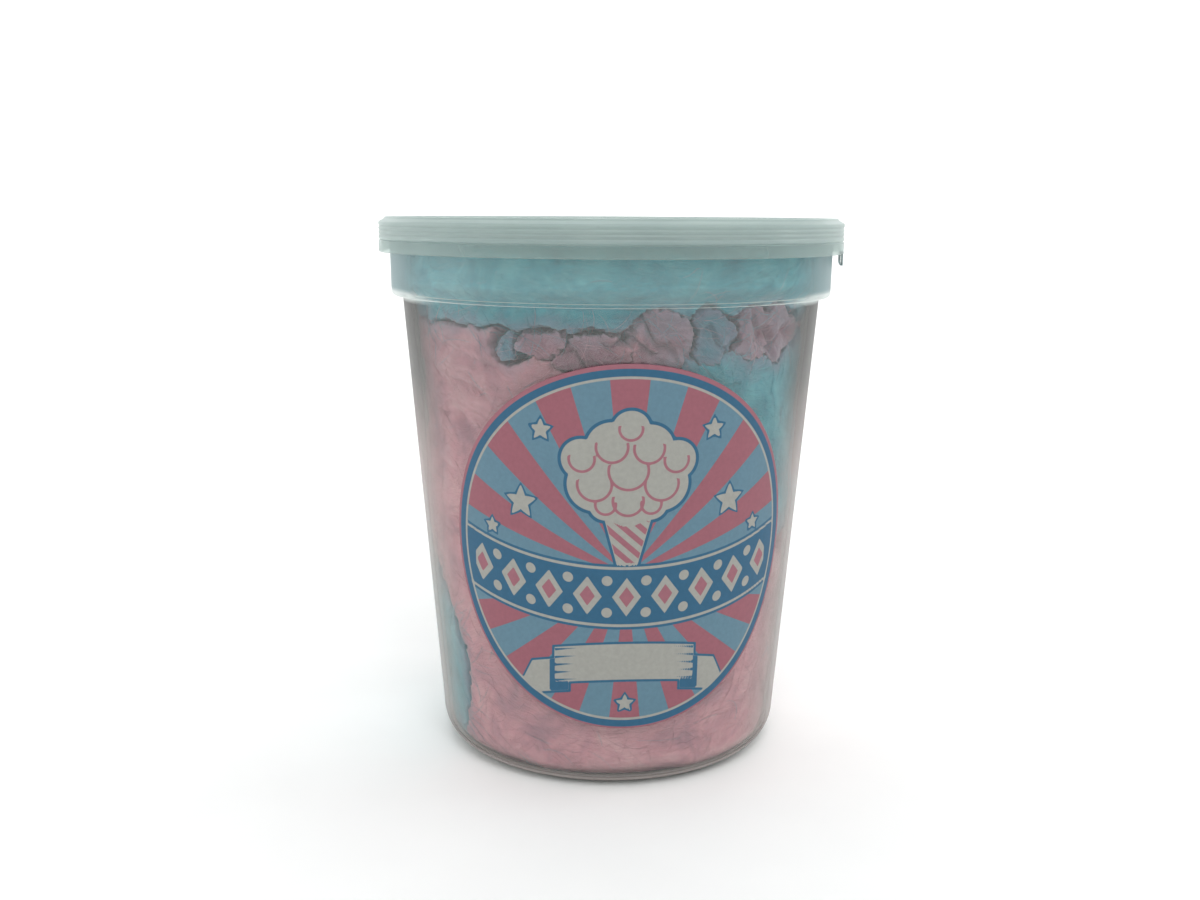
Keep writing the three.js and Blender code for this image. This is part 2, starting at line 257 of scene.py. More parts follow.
# %% Material: clear polypropylene
def clear_polypropylene():
    made, add, place = new_material("clear_polypropylene")
    height = add("SeparateXYZ", links={"Vector": place})
    # The collar is moulded with a finer frosted finish than the wall, so it is hazier.
    collar = add("MapRange", {"From Min": 0.1186, "From Max": 0.1196}, {"Value": (height, "Z")})
    collar_haze = add("MapRange", {"To Min": 0.03, "To Max": 0.09}, {"Value": collar})
    # Faint upright flow streaks, 3 mm apart, from the plastic running up the mould.
    stretch = add("Mapping", {"Scale": (330.0, 330.0, 12.0)}, {"Vector": place})
    streaks = add("TexNoise", {"Scale": 1.0, "Detail": 3.0}, {"Vector": stretch})
    streak_haze = add("MapRange", {"From Min": 0.35, "From Max": 0.75, "To Max": 0.015}, {"Value": streaks})
    # The foot ring is the thickest part of the moulding, and the least clear.
    foot_haze = add("MapRange", {"From Min": 0.0045, "From Max": 0.0020, "To Max": 0.6},
                    {"Value": (height, "Z")})
    # Seen edge on, light crosses far more plastic, and its grey haze hides what is behind. Low down the
    # floss is pressed on the wall and shows through the haze all the way to the edge.
    edge = add("LayerWeight", {"Blend": 0.5})
    bare = add("MapRange", {"From Min": 0.070, "From Max": 0.095, "To Min": 0.55}, {"Value": (height, "Z")})
    edge_haze = add("MapRange", {"From Min": 0.44, "From Max": 0.90},
                    {"Value": (edge, "Facing"), "To Max": bare}, interpolation_type="SMOOTHSTEP")
    haze = collar_haze
    for share in (streak_haze, foot_haze, edge_haze):
        haze = add("Math", links={0: haze, 1: share}, operation="ADD", use_clamp=True)
    see_through = add("BsdfTransparent", {"Color": linear("#fbfdfc")})
    # The haze's tone by height is painted light: a milky pinkish grey at the foot and low on the wall,
    # painted for the pink floss's light behind it; a painted shade of dark grey higher up, where the floss
    # stands back; a painted highlight along the ledge; and teal grey on the frosted collar, for the blue
    # floss behind.
    rise = add("MapRange", {"From Max": TOP / 1000}, {"Value": (height, "Z")})
    painted_light_tones = [(0.045, "#a49a97"), (0.30, "#9c9793"), (0.55, "#a39491"), (0.72, "#605e5c"),
             (0.850, "#4c4a48"), (0.854, "#d9e0de"), (0.867, "#d9e0de"), (0.873, "#7b9498")]
    painted_light_edge_tone = add("ValToRGB", links={"Fac": rise}, stops=[(at, linear(grey)) for at, grey in painted_light_tones])
    slanted = add("MapRange", {"From Min": 0.2, "From Max": 0.6}, {"Value": (edge, "Facing")})
    tone = add("MixRGB", {"Color1": linear("#b4bcba")}, {"Fac": slanted, "Color2": painted_light_edge_tone})
    body = add("BsdfPrincipled", {"Roughness": 0.5, "IOR": 1.49, "Specular IOR Level": 0.2},
               {"Base Color": tone})
    sheet = add("MixShader", links={0: haze, 1: see_through, 2: body})
    # Schlick's form of Fresnel's law, 0.039 at IOR 1.49 and growing as (1 - cos)^5, the same from both
    # sides of the sheet. It is held down to 0.16, as the moulded face isn't flat enough to mirror.
    slant = add("Math", {1: 5.0}, {0: (edge, "Facing")}, operation="POWER")
    shine = add("MapRange", {"To Min": 0.039, "To Max": 0.16}, {"Value": slant})
    rough = add("MapRange", {"To Min": 0.22, "To Max": 0.42}, {"Value": collar})
    gloss = add("BsdfGlossy", {"Color": linear("#f4f6f6")}, {"Roughness": rough})
    glossed = add("MixShader", links={0: shine, 1: sheet, 2: gloss})
    return finish_material(made, glossed)


tub_material = clear_polypropylene()
print("made", tub_material.name)

# %% [markdown]
# ## The tub
#
# One closed sheet: under the raised floor and the foot ring, round the corner, up the wall, out
# over the shoulder to the collar and the rolled rim, and back down inside, 0.8 mm behind.

# %% Tub
def foot_corner(inset, start, end, steps=12):
    """Arc of the corner between foot and wall, standing inside the outer face by inset."""
    angle = np.radians(np.linspace(start, end, steps))
    centre = wall_radius(CORNER) - CORNER / math.cos(TAPER)
    size = CORNER - inset
    return np.stack([centre + size * np.cos(angle), CORNER + size * np.sin(angle)], axis=-1).tolist()


def make_tub():
    """The outside from the middle of the floor to the rim, then the inside back to the floor."""
    lean = math.degrees(TAPER)
    outside = [(0, 1), (30, 1), (31, 0), *foot_corner(0, -90, -lean),
               (wall_radius(SHOULDER), SHOULDER), (COLLAR, SHOULDER), (COLLAR_TOP, 133.2)]
    rim = [(58.7, 134.2), (58.7, RIM_TOP), (COLLAR_TOP, RIM_TOP), (COLLAR_TOP - SHEET, RIM_TOP - SHEET)]
    ledge = SHOULDER + SHEET
    inside = [(COLLAR - SHEET, ledge), (wall_radius(ledge) - SHEET, ledge), *foot_corner(SHEET, -lean, -90),
              (31.4, SHEET), (30.4, SHEET + 1), (0, SHEET + 1)]
    corners = outside + rim + inside
    rounding = np.full(len(corners) - 2, 0.35)
    rounding[corners.index((COLLAR, SHOULDER)) - 1] = 1.1
    made = grid_object("clear_tub", turn(soften(corners, rounding)), tub_material, "clear_tub")
    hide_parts("tub")


make_tub()

# %% [markdown]
# ## Cloudy polypropylene
#
# The lid is the same plastic without the clarifier: natural polypropylene, satin and milky. Some
# light passes, so the blue floss tints it from behind, more so through the thin tear strip.

# %% Material: cloudy polypropylene
def cloudy_polypropylene():
    made, add, place = new_material("cloudy_polypropylene")
    height = add("SeparateXYZ", links={"Vector": place})
    # The tear strip ends 133 mm up.
    thickness_haze = add("MapRange", {
        "From Min": 0.1330, "From Max": 0.1336, "To Min": 0.22, "To Max": 0.46}, {"Value": (height, "Z")})
    edge = add("LayerWeight", {"Blend": 0.4})
    haze = add("Math", {1: 0.3}, {0: (edge, "Facing"), 2: thickness_haze},
               operation="MULTIPLY_ADD", use_clamp=True)
    # Cloudiness is a little uneven over some 15 mm, as the plastic cooled unevenly.
    clouds = add("TexNoise", {"Scale": 65.0, "Detail": 2.0}, {"Vector": place})
    tint = add("ValToRGB", links={"Fac": clouds}, stops=[(0.0, linear("#a5b5b3")), (1.0, linear("#bccac7"))])
    grain = add("TexNoise", {"Scale": 1400.0, "Detail": 2.0}, {"Vector": place})
    rough = add("Bump", {"Strength": 0.08, "Distance": 0.0002}, {"Height": grain})
    body = add("BsdfPrincipled", {
        "Roughness": 0.36, "IOR": 1.49, "Subsurface Weight": 0.25, "Subsurface Scale": 0.004,
        "Subsurface Radius": (1.0, 1.0, 0.9)}, {"Base Color": tint, "Normal": rough})
    see_through = add("BsdfTransparent", {"Color": linear("#eef4f2")})
    sheet = add("MixShader", links={0: haze, 1: see_through, 2: body})
    return finish_material(made, sheet)


lid_material = cloudy_polypropylene()
print("made", lid_material.name)

# %% [markdown]
# ## The lid
#
# The lid has a sunken panel, a raised bead that the next tub's foot cannot slide over, and a skirt
# with fine grip ridges. A groove near its lower edge lets a strip be torn off by a small tab.

# %% Lid
def skirt_face():
    """Skirt profile from the bottom up: the tear groove, then three ridges as a shallow cosine."""
    groove = [(LID_RADIUS, LID_BOTTOM), (LID_RADIUS, 133.05), (LID_RADIUS - 0.35, 133.3),
              (LID_RADIUS, 133.55)]
    low, high, ridges = 134.0, 137.2, 3
    z = np.linspace(low, high, 33)
    radius = LID_RADIUS - 0.10 * (1 - np.cos(2 * np.pi * (z - low) * ridges / (high - low)))
    return groove + list(zip(radius.tolist(), z.tolist())) + [(LID_RADIUS, TOP - 1.3)]


def make_lid():
    """The underside from the middle out, up over the skirt, and back in over the bead and panel."""
    inside = LID_RADIUS - SHEET
    plug = COLLAR_TOP - SHEET - 0.4
    under = [(0, 134.9), (45.7, 134.9), (46.4, 135.6), (plug - SHEET - 0.3, 135.6), (plug - SHEET, 134.2),
             (plug, 134.2), (plug, RIM_TOP + 0.3), (inside, RIM_TOP + 0.3), (inside, LID_BOTTOM)]
    over = [(58.6, TOP - 0.5), (58.3, TOP), (55.7, TOP), (55.3, TOP - 0.6), (54.6, 136.4), (46.0, 136.4),
            (45.3, 135.7), (0, 135.7)]
    profile = soften(under + skirt_face() + over, 0.3)
    made = grid_object("cloudy_lid", turn(profile), lid_material, "cloudy_lid")
    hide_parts("lid")


make_lid()

# %% [markdown]
# ## The tear tab
#
# A small clear tongue hangs from the tear strip at the right. It is an outline, a flat rounded
# shape, given thickness and bent round the skirt: across becomes an angle and up stays up.

# %% Tear tab
def make_tab(azimuth=82.0, width=13.0, length=3.6, around=48, layers=10):
    """Superellipse tongue: x = w sgn(cos a)|cos a|^0.5 and z likewise, its edge rounded like a pillow."""
    angle = np.linspace(0, 2 * np.pi, around, endpoint=False)
    x = width / 2 * np.sign(np.cos(angle)) * np.abs(np.cos(angle)) ** 0.5
    z = length / 2 * np.sign(np.sin(angle)) * np.abs(np.sin(angle)) ** 0.6
    turn_over = np.linspace(-np.pi / 2, np.pi / 2, layers)[:, None]
    shrink = np.where(np.abs(turn_over) > 1.5, 0.0, 1 - 0.06 * (1 - np.cos(turn_over)))
    radius = LID_RADIUS - 0.45 + 0.35 * np.sin(turn_over)
    turned = math.radians(azimuth) + shrink * x / LID_RADIUS
    height = LID_BOTTOM + 0.6 - length / 2 + shrink * z
    rows = np.stack([radius * np.sin(turned), -radius * np.cos(turned), height], axis=-1)
    grid_object("tear_tab", rows, tub_material, "cloudy_lid")


make_tab()

# %% [markdown]
# ## Smooth random fields
#
# Floss is uneven at every size. The solids shape their wads with sums of sine waves in seeded
# directions, and the same sums here give the same wads. Finer relief comes from value noise:
# random heights on a cubic lattice, smoothly blended between the lattice points.

# %% Seeded fields
def draws(seed, count):
    """Numbers from 0 to 1: state -> (1664525 state + 1013904223) mod 2^32, divided by 2^32."""
    numbers, state = [], seed
    for _ in range(count):
        state = (state * 1664525 + 1013904223) % 4294967296
        numbers.append(state / 4294967296)
    return np.array(numbers)


def bumps(points, seed, wave, count=7):
    """Mean of sines of (point . direction * 2 pi / length + phase), each length near wave."""
    around, height, length, phase = draws(seed, 4 * count).reshape(count, 4).T
    height = height * 2 - 1
    flat = np.sqrt(1 - height ** 2)
    pull = 2 * np.pi / (wave * (0.7 + 0.6 * length))
    heading = around * 2 * np.pi
    ways = np.stack([flat * np.cos(heading), flat * np.sin(heading), height]) * pull
    angles = points.astype(np.float32) @ ways.astype(np.float32) + (phase * 2 * np.pi).astype(np.float32)
    return np.sin(angles).mean(axis=-1)


def value_noise(points, seed):
    """Value noise from -1 to 1: lattice heights from an integer hash, blended by 3t^2 - 2t^3."""
    cell = np.floor(points).astype(np.int32)
    t = (points - cell).astype(np.float32)
    t = t * t * (3 - 2 * t)
    total = 0
    for corner in range(8):
        step = np.array([corner & 1, corner >> 1 & 1, corner >> 2])
        x, y, z = np.moveaxis((cell + step).astype(np.uint32), -1, 0)
        mix = x * np.uint32(374761393) + y * np.uint32(668265263) + z * np.uint32(2147483647)
        mix = mix + np.uint32(seed * 7919)
        mix = (mix ^ (mix >> np.uint32(13))) * np.uint32(1274126177)
        height = ((mix ^ (mix >> np.uint32(16))) & np.uint32(0xFFFF)).astype(np.float32) / 32767.5 - 1
        sides = np.where(step, t, 1 - t)
        total = total + height * sides[..., 0] * sides[..., 1] * sides[..., 2]
    return total


print("sample of the drawn numbers:", draws(7, 3).round(3))

# %% [markdown]
# ## Torn wads as depths
#
# Each wad is a bumpy ball of floss, cut by the inside of the tub and by the wads that were laid in
# before it. Every surface is written as a depth: how many millimetres inside it a point lies. Two
# depths are joined by a minimum with a rounding, so that wads roll over softly into the cracks
# between them. A wad's skin is found by walking outwards from its middle until the depth is zero.

# %% The floss as depths
TIGHT, LOOSE = 0.45, 2.6  # how far the floss stands from the wall, low down and under the shoulder
COLLAR_SWELL = 3.6  # above the shoulder the floss bulges out into the wider collar
FLOSS_TOP, FOLD, WAD_GAP = 133.0, 1.4, 0.10
# name: azimuth, distance from the axis, height, radii (along the wall, towards it, up), seed
WADS = {
    "floss_pink_tuft_left": (-19, 45, 110.6, (5.8, 8, 3.2), 31),
    "floss_blue_tuft_left": (-30, 45, 109.4, (4.2, 8, 3.5), 32),
    "floss_pink_tuft_middle": (13, 44, 111, (7.6, 12, 6.8), 33),
    "floss_pink_tuft_low": (-4, 44.5, 107.8, (10, 10, 4.6), 34),
    "floss_blue_tuft_right": (28, 43.5, 112.6, (7.4, 12, 6), 35),
    "floss_pink_tuft_right": (49, 43, 112, (14, 13, 7), 36),
    "floss_blue_right": (57, 38, 84, (40, 22, 30), 23),
    "floss_blue_left": (-105, 33, 22, (33, 20, 37), 24),
    "floss_blue_back": (188, 38, 84, (34, 22, 26), 25),
    "floss_blue_top": (0, 0, 133, (130, 130, 19), 26),
}


def smooth_step(x, low, high):
    """0 below low, 1 above high, and 3t^2 - 2t^3 between them."""
    t = np.clip((x - low) / (high - low), 0, 1)
    return t * t * (3 - 2 * t)


def round_min(a, b, size):
    """Lesser of two depths with a rounded edge: max(size, min) - hypot of how far each is under size."""
    under = np.hypot(np.maximum(size - a, 0), np.maximum(size - b, 0))
    return np.maximum(size, np.minimum(a, b)) - under


def fill_depth(p):
    """Depth inside all that the floss fills: the tub's inside less its clearance and its folds."""
    radius, z = np.hypot(p[..., 0], p[..., 1]), p[..., 2]
    loose = TIGHT + (LOOSE - TIGHT) * smooth_step(z, 60, 105) - COLLAR_SWELL * smooth_step(z, 119.5, 124)
    wall = (wall_radius(np.minimum(z, SHOULDER)) - SHEET - loose - radius) * math.cos(TAPER)
    # Folds only matter near the outside, so the sums of sines are left out deep inside.
    near = (wall < 6) | (z > FLOSS_TOP - 6)
    fold = np.zeros(z.shape)
    fold[near] = FOLD * np.clip(0.15 + 0.9 * bumps(p[near], 7, 30) + 0.6 * bumps(p[near], 8, 13), 0, 1)
    floor = z - 2.4 + smooth_step(radius, 31, 38)
    return round_min(round_min(wall - fold, floor, 7.0), FLOSS_TOP - z - fold, 5.0)


def torn(p):
    """Millimetres by which every torn edge is shifted: waves some 9, 3 and 1.5 mm long, for all pieces."""
    return 2.2 * bumps(p, 91, 9.0) + 1.1 * bumps(p, 92, 3.2) + 0.5 * bumps(p, 94, 1.5)


def wad_depth(p, name, ragged):
    """Depth inside a wad: e is the point over the radii, and its skin lies where |e| is the swell.

    A small tuft was pressed flat against the wall, so it keeps its width from its middle outwards.
    """
    azimuth, out, height, radii, seed = WADS[name]
    c, s = math.cos(math.radians(azimuth)), math.sin(math.radians(azimuth))
    along, inward = p[..., 0] * c + p[..., 1] * s, p[..., 1] * c - p[..., 0] * s + out
    if "tuft" in name:
        inward = np.maximum(inward, 0)
    e = np.stack([along, inward, p[..., 2] - height], axis=-1) / radii
    far = np.maximum(np.linalg.norm(e, axis=-1), 1e-6)
    near = far < 1.5  # elsewhere the swell changes nothing that shows
    swell = np.ones(far.shape)
    swell[near] += 0.22 * bumps(e[near] / far[near][:, None], seed, 1.5)
    return (swell - far) * far / np.maximum(np.linalg.norm(e / radii, axis=-1), 1e-9) + ragged


def seam_rounding(p, least, most):
    """How softly wads roll into their seams: it wanders, so that some seams gape and others vanish.

    Low down, where the floss is pressed together, the seams are shut.
    """
    loose = smooth_step(p[..., 2], 60, 100)
    return least + (most - least) * loose * np.clip(0.45 + 1.6 * bumps(p, 93, 24.0), 0, 1)


def piece_depth(p, name, rounding):
    """Depth inside one torn piece: in the fill, in its own wad, and clear of the wads laid before it."""
    depth = fill_depth(p)
    ragged = torn(p)
    size = seam_rounding(p, 0.15, rounding)
    if name in WADS:
        depth = round_min(depth, wad_depth(p, name, ragged), size)
    earlier = list(WADS)[:list(WADS).index(name)] if name in WADS else list(WADS)
    for other in earlier:
        depth = round_min(depth, -wad_depth(p, other, ragged) - WAD_GAP, size)
    return depth


def walk_out(start, way, name, rounding, far):
    """Distance along each ray to the skin: steps of 0.7 of the depth there, until it is under 0.03 mm."""
    start = np.broadcast_to(start, way.shape).reshape(-1, 3)
    ways = way.reshape(-1, 3)
    distance = np.zeros(len(ways))
    going = np.arange(len(ways))
    for _ in range(60):
        depth = piece_depth(start[going] + ways[going] * distance[going][:, None], name, rounding)
        distance[going] += 0.7 * np.maximum(depth, 0)
        going = going[(depth > 0.03) & (distance[going] < far)]
        if len(going) == 0:
            break
    return distance.reshape(way.shape[:2])


print(len(WADS), "wads are laid in before the big pink piece fills the rest")

# %% [markdown]
# ## Fibrous relief
#
# Spun sugar is a mat of fibres some 0.05 mm thick, which clump into strands and soft pads. Single
# fibres are too fine to be seen in a picture of the whole tub, so the relief has what they make
# together: pads some 7 mm across, wrinkles where a pad was folded, and strands about 1 mm wide.

# %% Relief of the floss
# Creases: azimuth from and to, height at each end, depth, half width
CREASES = [
    (-66, -34, 103.5, 96, 1.3, 0.8), (-62, -20, 108.5, 104.6, 1.0, 1.0), (-58, -40, 92, 90.5, 0.8, 0.7),
    (-60, -45, 60, 58, 0.8, 0.7), (-64, -50, 77, 79, 0.6, 0.8), (-25, 20, 22, 19, 0.6, 1.2),
    (10, 60, 12, 16, 0.6, 1.0), (60, 85, 70, 74, 0.7, 0.9), (100, 150, 60, 52, 1.1, 1.0),
    (150, 175, 40, 47, 1.0, 1.0), (-160, -110, 80, 86, 1.1, 1.0), (-150, -120, 100, 97, 0.9, 1.0),
    (8, 17, 116, 107.5, 1.2, 0.6), (-2, 12, 112.5, 109.5, 0.9, 0.6), (-14, -5, 110.5, 105.5, 1.1, 0.5),
    (41, 52, 117, 109, 1.2, 0.7), (48, 62, 109.5, 114, 1.0, 0.7), (24, 33, 115, 110.5, 0.8, 0.6),
]


def relief(p, seed):
    """Millimetres to add outwards: pads, ridged wrinkles 1 - |noise|, strands, less the creases.

    A crease is a fold laid over the floss below it: its upper lip is steep and its lower side runs out
    slowly, as exp(-(d / half)^2) with a larger half below the crease than above it.
    """
    bend = np.stack([bumps(p, seed + k, 9) for k in (1, 2, 3)], axis=-1) * 2.5
    q = p + bend
    pads = value_noise(q / 7.0, seed)
    wrinkle = 1 - np.abs(value_noise(q / np.array([6.0, 6.0, 3.0]), seed + 4)) * 2
    strands = (value_noise(q / np.array([2.2, 2.2, 0.8]), seed + 5)
               + 0.6 * value_noise(q / np.array([0.9, 0.9, 0.5]), seed + 6))
    height = 0.35 * pads + 0.26 * wrinkle + 0.13 * strands
    azimuth = np.degrees(np.arctan2(p[..., 0], -p[..., 1]))
    for start, end, z_start, z_end, depth, half in CREASES:
        along = (azimuth - start) / (end - start)
        middle = z_start + (z_end - z_start) * along + 1.3 * np.sin(along * 7 + start) + 0.8 * pads
        fade = smooth_step(along, -0.15, 0.15) * (1 - smooth_step(along, 0.85, 1.15))
        down = middle - p[..., 2]
        height = height - depth * fade * np.exp(-(down / np.where(down > 0, half * 3, half * 0.7)) ** 2)
    pressed_flat = 0.4 + 0.6 * smooth_step(p[..., 2], 55, 100)
    return np.minimum(height * pressed_flat, 0.5)


print(len(CREASES), "creases, up to", max(crease[4] for crease in CREASES), "mm deep")

# %% [markdown]
# ## Spun sugar
#
# Cotton candy is sugar melted and spun into fibres. It is matte and soft: light enters, scatters
# between the fibres and comes out again a few millimetres away, so shadows in it are faint and
# tinted. The pink and the blue are dyes, uneven in clumps and darkened by painted shade where a tuft
# lies back from the wall and under the shoulder, and wisps of one colour stray into the other.

# %% Material: spun sugar
def spun_sugar(name, pale, middle, deep, wisp, seed):
    made, add, place = new_material(name)
    shift = add("Mapping", {"Location": (seed, 0.3 * seed, -seed)}, {"Vector": place})
    # Clumps 6 to 20 mm across carry the dye unevenly.
    clumps = add("TexNoise", {"Scale": 75.0, "Detail": 6.0, "Roughness": 0.62, "Distortion": 0.6},
                 {"Vector": shift})
    # Painted shade: where a tuft lies back from the wall, in the recesses between others, its dye is
    # darkened.
    painted_recess_shade = add("Attribute", attribute_name="painted_recess_shade")
    dye_and_painted_shade = add("Math", {1: -0.05}, {0: (painted_recess_shade, "Fac"), 2: clumps}, operation="MULTIPLY_ADD")
    dye = add("ValToRGB", links={"Fac": dye_and_painted_shade},
              stops=[(0.30, linear(deep)), (0.5, linear(middle)), (0.72, linear(pale))])
    # Strands: noise drawn out sideways, bent by a slower noise so that it swirls, about 0.6 mm wide.
    swirl = add("TexNoise", {"Scale": 40.0, "Detail": 2.0}, {"Vector": shift})
    bent = add("MixRGB", {"Fac": 0.025}, {"Color1": shift, "Color2": (swirl, 1)}, blend_type="ADD")
    drawn = add("Mapping", {"Scale": (420.0, 420.0, 1500.0)}, {"Vector": bent})
    strands = add("TexNoise", {"Scale": 1.0, "Detail": 5.0, "Roughness": 0.6}, {"Vector": drawn})
    strand_light = add("MapRange", {"From Min": 0.3, "From Max": 0.7, "To Min": 0.86, "To Max": 1.1},
                       {"Value": strands})
    # Painted shade under the shoulder: there the floss is loose and little light reaches it, so its colour
    # is darkened by height.
    height = add("SeparateXYZ", links={"Vector": place})
    rise = add("MapRange", {"From Max": TOP / 1000}, {"Value": (height, "Z")})
    full = (1, 1, 1, 1)
    painted_shoulder_shade = add("ValToRGB", links={"Fac": rise}, stops=[
        (0.58, full), (0.71, (0.82, 0.81, 0.83, 1)), (0.84, (0.76, 0.76, 0.78, 1)), (0.87, full)])
    dimmed = add("VectorMath", links={0: painted_shoulder_shade, 1: strand_light}, operation="MULTIPLY")
    shaded = add("VectorMath", links={0: dye, 1: dimmed}, operation="MULTIPLY")
    # Wisps of the other colour, where a slow noise is high.
    stray = add("TexNoise", {"Scale": 34.0, "Detail": 5.0, "Roughness": 0.7, "Distortion": 1.2},
                {"Vector": shift})
    stray_share = add("MapRange", {"From Min": 0.60, "From Max": 0.74, "To Max": 0.35}, {"Value": stray})
    # Within some 3 mm of the other colour the dyes run into each other, in an uneven line.
    other = add("Attribute", attribute_name="to_other")
    wander = add("MapRange", {"From Min": 0.3, "From Max": 0.7, "To Min": -1.5, "To Max": 1.5},
                 {"Value": stray})
    reach = add("Math", links={0: (other, "Fac"), 1: wander}, operation="SUBTRACT")
    run = add("MapRange", {"From Min": -1.2, "From Max": 4.0, "To Min": 0.72, "To Max": 0.0},
              {"Value": reach})
    mixed_in = add("Math", links={0: stray_share, 1: run}, operation="MAXIMUM")
    tinted = add("MixRGB", {"Color2": linear(wisp)}, {"Fac": mixed_in, "Color1": shaded})
    fuzz = add("Bump", {"Strength": 0.55, "Distance": 0.0006}, {"Height": strands})
    body = add("BsdfPrincipled", {
        "Roughness": 0.95, "IOR": 1.3, "Specular IOR Level": 0.15, "Subsurface Weight": 0.35,
        "Subsurface Scale": 0.0025, "Subsurface Radius": (1.0, 0.8, 0.8), "Sheen Weight": 0.25,
        "Sheen Roughness": 0.6}, {"Base Color": tinted, "Normal": fuzz})
    return finish_material(made, body)


# dye: pale, middle, deep, wisp of the other colour
DYES = {"pink": ("#d6a3a8", "#c88a94", "#a0707e", "#8c8796"),
        "blue": ("#6cb7c1", "#429eac", "#2b7f90", "#86788c")}
floss = {"pink": spun_sugar("spun_sugar_pink", *DYES["pink"], 0.0),
         "blue": spun_sugar("spun_sugar_blue", *DYES["blue"], 2.0)}
print("made", [each.name for each in floss.values()])

# %% [markdown]
# ## The wads
#
# Each wad is a sphere of rays with its poles at top and bottom, flattened like the wad so that its
# skin is evenly covered. The big pink piece has no single middle that sees all of its skin: its
# rays leave from a spine that bends to stay inside the pink.

# %% Skins of the wads
def keep_inside(p, clear=0.08):
    """Points drawn in towards the axis where they would come through the tub's inner face."""
    radius, z = np.hypot(p[..., 0], p[..., 1]), p[..., 2]
    most = np.where(z < SHOULDER, wall_radius(z), COLLAR) - SHEET - clear
    share = np.minimum(1, most / np.maximum(radius, 1e-6))[..., None]
    return np.concatenate([p[..., :2] * share, p[..., 2:]], axis=-1)


def skin(p, start, seed, strength=1.0):
    """Relief added along the rays, stronger on small tufts that were rolled and crushed.

    It fades out where a ray runs sideways into a seam, so that the seams stay shut.
    """
    way = p - start
    way = way / np.maximum(np.linalg.norm(way, axis=-1, keepdims=True), 1e-6)
    outward = np.sum(way[..., :2] * p[..., :2], axis=-1) / np.maximum(np.hypot(p[..., 0], p[..., 1]), 1e-6)
    shown = 0.25 + 0.75 * smooth_step(outward, 0.2, 0.75)
    return keep_inside(p + way * (strength * shown * relief(p, seed))[..., None])


def add_attribute(made, name, grid):
    """A number for each point of a grid_object with two poles, in the order of its vertices."""
    attribute = made.data.attributes.new(name, "FLOAT", "POINT")
    attribute.data.foreach_set("value", grid.ravel()[np.unique(grid_ids(grid.shape))].astype(np.float32))


SKINS = {}


def wad_object(name, p, extra_painted_shade=0.0):
    """The mesh of a wad, and two numbers for each point of its skin.

    They are the millimetres to floss of the other colour, and back from the fill, which darkens the dye
    as painted shade. A small tuft gets some millimetres more of that painted shade.
    """
    dye = "pink" if "pink" in name else "blue"
    made = grid_object(name + "_wad", p, floss[dye], dye + "_floss")
    ragged = torn(p)
    others = [-wad_depth(p, each, ragged) for each in WADS if dye not in each]
    if dye == "blue":
        others.append(wad_depth(p, name, ragged))
    add_attribute(made, "to_other", np.clip(np.minimum.reduce(others), 0, 12))
    # Depth back from the fill: it darkens the dye as painted shade in the recesses.
    add_attribute(made, "painted_recess_shade", np.clip(fill_depth(p), 0, 6) + extra_painted_shade)
    SKINS[name] = p
    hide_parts(name)


# %% Wads
def make_wad(name, rows, columns, centre=None, flat=None, rounding=0.9):
    """Rays at latitude v and longitude u: (cos v cos u, cos v sin u, sin v) times the wad's radii."""
    azimuth, out, height, radii, seed = WADS[name]
    turned = math.radians(azimuth)
    small = "tuft" in name
    behind = out - (0.5 * radii[1] if small else 0)  # deeper in, so that rays meet the face squarely
    middle = np.array(centre or (behind * math.sin(turned), -behind * math.cos(turned), height))
    shape = np.array(flat or radii, float)
    v = np.linspace(-np.pi / 2, np.pi / 2, int(rows * FINE))[:, None]
    u = np.linspace(0, 2 * np.pi, int(columns * FINE), endpoint=False)[None, :]
    x, y = np.cos(v) * np.cos(u) * shape[0], np.cos(v) * np.sin(u) * shape[1]
    c, s = math.cos(turned), math.sin(turned)
    way = np.stack([x * c - y * s, x * s + y * c, np.sin(v) * shape[2] + 0 * u], axis=-1)
    way = way / np.linalg.norm(way, axis=-1, keepdims=True)
    far = walk_out(middle, way, name, rounding, 75.0)
    p = skin(middle + way * far[..., None], middle, seed, 1.9 if small else 1.0)
    wad_object(name, p, 5.0 if small else 0.0)


for tuft in [name for name in WADS if "tuft" in name]:
    make_wad(tuft, 110, 200, rounding=0.5)
for big_wad in ("floss_blue_right", "floss_blue_left", "floss_blue_back"):
    make_wad(big_wad, 200, 300)
make_wad("floss_blue_top", 200, 420, centre=(0, 0, 124), flat=(50, 50, 11))

# %% The big pink piece
def make_base(rows=240, columns=400, rounding=0.7):
    """Rays from a bent spine to a plain fill shape: rows follow its profile from bottom to top."""
    rows, columns = int(rows * FINE), int(columns * FINE)
    corner = np.array(foot_corner(SHEET + TIGHT, -84, -math.degrees(TAPER), 10))
    profile = np.concatenate([[(0, 2.5), (22, 2.5)], corner, [(wall_radius(110), 110), (48, 117), (0, 117)]])
    length = np.concatenate([[0], np.cumsum(np.linalg.norm(np.diff(profile, axis=0), axis=1))])
    # Hidden rows at the floor and the top are spaced wider than those on the wall.
    along = np.interp(np.linspace(0, 1, rows), [0, 0.1, 0.92, 1], [0, 28, length[-2] - 4, length[-1]])
    profile = np.stack([np.interp(along, length, profile[:, k]) for k in (0, 1)], axis=-1)
    target = turn(profile, columns)
    z = np.clip(target[..., 2:], 22, 104)
    lean = smooth_step(z, 42, 58)
    # Towards the gap between the right and the back wad, the spine leans the other way.
    azimuth = np.degrees(np.arctan2(target[..., :1], -target[..., 1:2]))
    aside = lean * smooth_step(azimuth, 90, 125) * (1 - smooth_step(azimuth, 145, 175))
    start = np.concatenate([10 - 24 * lean + 30 * aside, -6 + 9 * aside, z], axis=-1)
    way = target - start
    way = way / np.linalg.norm(way, axis=-1, keepdims=True)
    far = walk_out(start, way, "floss_pink_base", rounding, 80.0)
    wad_object("floss_pink_base", skin(start + way * far[..., None], start, 27))


make_base()

